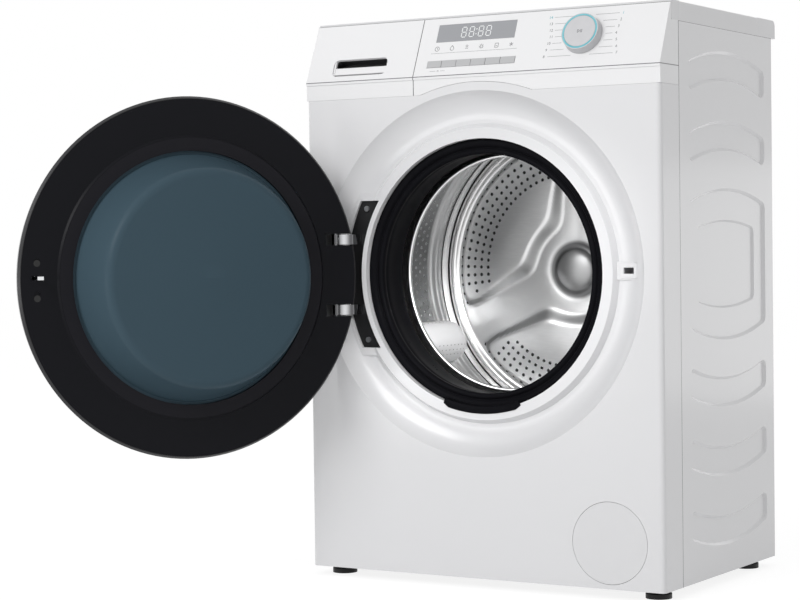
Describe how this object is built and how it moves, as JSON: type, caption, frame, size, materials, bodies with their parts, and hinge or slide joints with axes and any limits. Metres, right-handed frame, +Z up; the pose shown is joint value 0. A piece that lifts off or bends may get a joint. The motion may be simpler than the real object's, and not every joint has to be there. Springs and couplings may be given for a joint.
{
  "type": "front load washing machine",
  "caption": "Front load washing machine with an open round door, a dished front, a slanted control panel with dial and keys, a detergent drawer and a sprung tub with a turning drum.",
  "frame": {"origin": "on the floor, under the middle of the cabinet", "axes": "+X right as seen from the front, +Y to the back, +Z up"},
  "size_m": [0.8025, 0.8815, 0.85],
  "materials": {
    "white_steel": "gloss white enamel",
    "back_steel": "plain coated sheet",
    "zinc": "zinc plated",
    "base_grey": "moulded",
    "worktop_white": "white laminate on chipboard",
    "white_plastic": "gloss",
    "display_grey": "clear over grey",
    "board_green": "circuit board in a tray",
    "dispenser_white": "moulded",
    "key_grey": "satin",
    "dial_silver": "silver lacquer",
    "dial_light": "teal light guide",
    "seal_rubber": "matt",
    "hinge_chrome": "polished",
    "lock_black": "moulded",
    "door_silver": "silver lacquer",
    "door_black": "near black",
    "door_glass": "tinted bowl",
    "door_window": "smoked pane",
    "tub_grey": "moulded",
    "weight_iron": "cast",
    "stainless": "stainless",
    "lifter_grey": "moulded",
    "drive_alloy": "cast"
  },
  "bodies": {
    "cabinet": {"base_frame": "base_grey", "left_side_panel": "white_steel", "right_side_panel": "white_steel", "back_panel": "back_steel", "rear_service_cover": "back_steel", "cabinet_screws": "zinc", "front_panel": "white_steel", "top_frame": "zinc", "worktop_board": "worktop_white", "worktop_rails": "white_plastic", "control_panel": "white_plastic", "display_window": "display_grey", "control_board": "board_green", "dispenser_housing": "dispenser_white", "inlet_valve": "dispenser_white", "tub_hoses": "seal_rubber", "gasket": "seal_rubber", "hinge_bracket": "hinge_chrome", "door_lock": "dispenser_white", "drain_pump": "lock_black", "rear_grommets": "seal_rubber", "suspension_springs": "zinc", "damper_cylinders": "lock_black"},
    "front_left_foot": {"foot_front_left": "seal_rubber"},
    "front_right_foot": {"foot_front_right": "seal_rubber"},
    "rear_left_foot": {"foot_rear_left": "seal_rubber"},
    "rear_right_foot": {"foot_rear_right": "seal_rubber"},
    "drawer": {"drawer_front": "white_plastic", "detergent_tray": "dispenser_white"},
    "key_1": {"option_key_1": "key_grey"},
    "key_2": {"option_key_2": "key_grey"},
    "key_3": {"option_key_3": "key_grey"},
    "key_4": {"option_key_4": "key_grey"},
    "key_5": {"option_key_5": "key_grey"},
    "key_6": {"option_key_6": "key_grey"},
    "dial": {"program_dial": "dial_silver", "dial_ring": "dial_light"},
    "start": {"start_button": "dial_silver"},
    "cover": {"filter_cover": "white_plastic"},
    "plug": {"filter_plug": "lock_black"},
    "door": {"door_outer_frame": "door_silver", "door_inner_frame": "door_black", "door_glass": "door_glass", "door_window": "door_window", "hinge_pins": "zinc"},
    "hook": {"door_hook": "hinge_chrome"},
    "tub": {"tub_front": "tub_grey", "tub_rear": "tub_grey", "counterweights": "weight_iron", "heater": "stainless", "motor": "drive_alloy", "bearings": "stainless", "drive_belt": "seal_rubber", "damper_rods": "zinc"},
    "drum": {"drum_shell": "stainless", "drum_back": "stainless", "drum_lifters": "lifter_grey", "drum_spider": "drive_alloy", "drum_pulley": "drive_alloy"},
    "rotor": {"motor_pulley": "drive_alloy"}
  },
  "joints": [
    {"name": "door_hinge", "type": "hinge", "parent": "cabinet", "child": "door", "pos_m": [-0.239, -0.22, 0.464], "axis": [0, 0, 1], "range_deg": [-9, 121]},
    {"name": "hook_pivot", "type": "hinge", "parent": "door", "child": "hook", "pos_m": [-0.47867, -0.63247, 0.468], "axis": [0, 0, 1], "range_deg": [0, 8], "stiffness_Nm_per_rad": 0.3, "springref_deg": -5.73},
    {"name": "drawer_slide", "type": "slide", "parent": "cabinet", "child": "drawer", "axis": [0, -1, 0], "range_m": [0, 0.19]},
    {"name": "dial_turn", "type": "hinge", "parent": "cabinet", "child": "dial", "pos_m": [0.169, -0.18608, 0.80582], "axis": [0, -0.9197, 0.3927], "continuous": true},
    {"name": "start_press", "type": "slide", "parent": "dial", "child": "start", "axis": [0, 0.9197, -0.3927], "range_m": [0, 0.0015], "stiffness_N_per_m": 300, "springref_m": -0.001},
    {"name": "key_1_press", "type": "slide", "parent": "cabinet", "child": "key_1", "axis": [0, 0.9197, -0.3927], "range_m": [0, 0.0008], "stiffness_N_per_m": 300, "springref_m": -0.001},
    {"name": "key_2_press", "type": "slide", "parent": "cabinet", "child": "key_2", "axis": [0, 0.9197, -0.3927], "range_m": [0, 0.0008], "stiffness_N_per_m": 300, "springref_m": -0.001},
    {"name": "key_3_press", "type": "slide", "parent": "cabinet", "child": "key_3", "axis": [0, 0.9197, -0.3927], "range_m": [0, 0.0008], "stiffness_N_per_m": 300, "springref_m": -0.001},
    {"name": "key_4_press", "type": "slide", "parent": "cabinet", "child": "key_4", "axis": [0, 0.9197, -0.3927], "range_m": [0, 0.0008], "stiffness_N_per_m": 300, "springref_m": -0.001},
    {"name": "key_5_press", "type": "slide", "parent": "cabinet", "child": "key_5", "axis": [0, 0.9197, -0.3927], "range_m": [0, 0.0008], "stiffness_N_per_m": 300, "springref_m": -0.001},
    {"name": "key_6_press", "type": "slide", "parent": "cabinet", "child": "key_6", "axis": [0, 0.9197, -0.3927], "range_m": [0, 0.0008], "stiffness_N_per_m": 300, "springref_m": -0.001},
    {"name": "cover_pull", "type": "slide", "parent": "cabinet", "child": "cover", "axis": [0, -1, 0], "range_m": [0, 0.045]},
    {"name": "plug_turn", "type": "hinge", "parent": "cabinet", "child": "plug", "pos_m": [0.212, -0.175, 0.08], "axis": [0, -1, 0], "range_deg": [0, 120]},
    {"name": "tub_float", "type": "slide", "parent": "cabinet", "child": "tub", "axis": [0, 0, 1], "range_m": [-0.01, 0.01], "stiffness_N_per_m": 13000, "springref_m": 0.02858, "deforming": ["suspension_springs", "gasket", "tub_hoses"]},
    {"name": "drum_spin", "type": "hinge", "parent": "tub", "child": "drum", "pos_m": [0, -0.205, 0.464], "axis": [0, 1, 0], "continuous": true},
    {"name": "motor_spin", "type": "hinge", "parent": "tub", "child": "rotor", "pos_m": [0, -0.205, 0.135], "axis": [0, 1, 0], "continuous": true},
    {"name": "front_left_foot_turn", "type": "hinge", "parent": "cabinet", "child": "front_left_foot", "pos_m": [-0.2675, -0.161, 0], "axis": [0, 0, 1], "continuous": true},
    {"name": "front_right_foot_turn", "type": "hinge", "parent": "cabinet", "child": "front_right_foot", "pos_m": [0.2675, -0.161, 0], "axis": [0, 0, 1], "continuous": true},
    {"name": "rear_left_foot_turn", "type": "hinge", "parent": "cabinet", "child": "rear_left_foot", "pos_m": [-0.2675, 0.161, 0], "axis": [0, 0, 1], "continuous": true},
    {"name": "rear_right_foot_turn", "type": "hinge", "parent": "cabinet", "child": "rear_right_foot", "pos_m": [0.2675, 0.161, 0], "axis": [0, 0, 1], "continuous": true}
  ],
  "couplings": [
    {"joint": "motor_spin", "follows": "drum_spin", "ratio": 15.556}
  ]
}
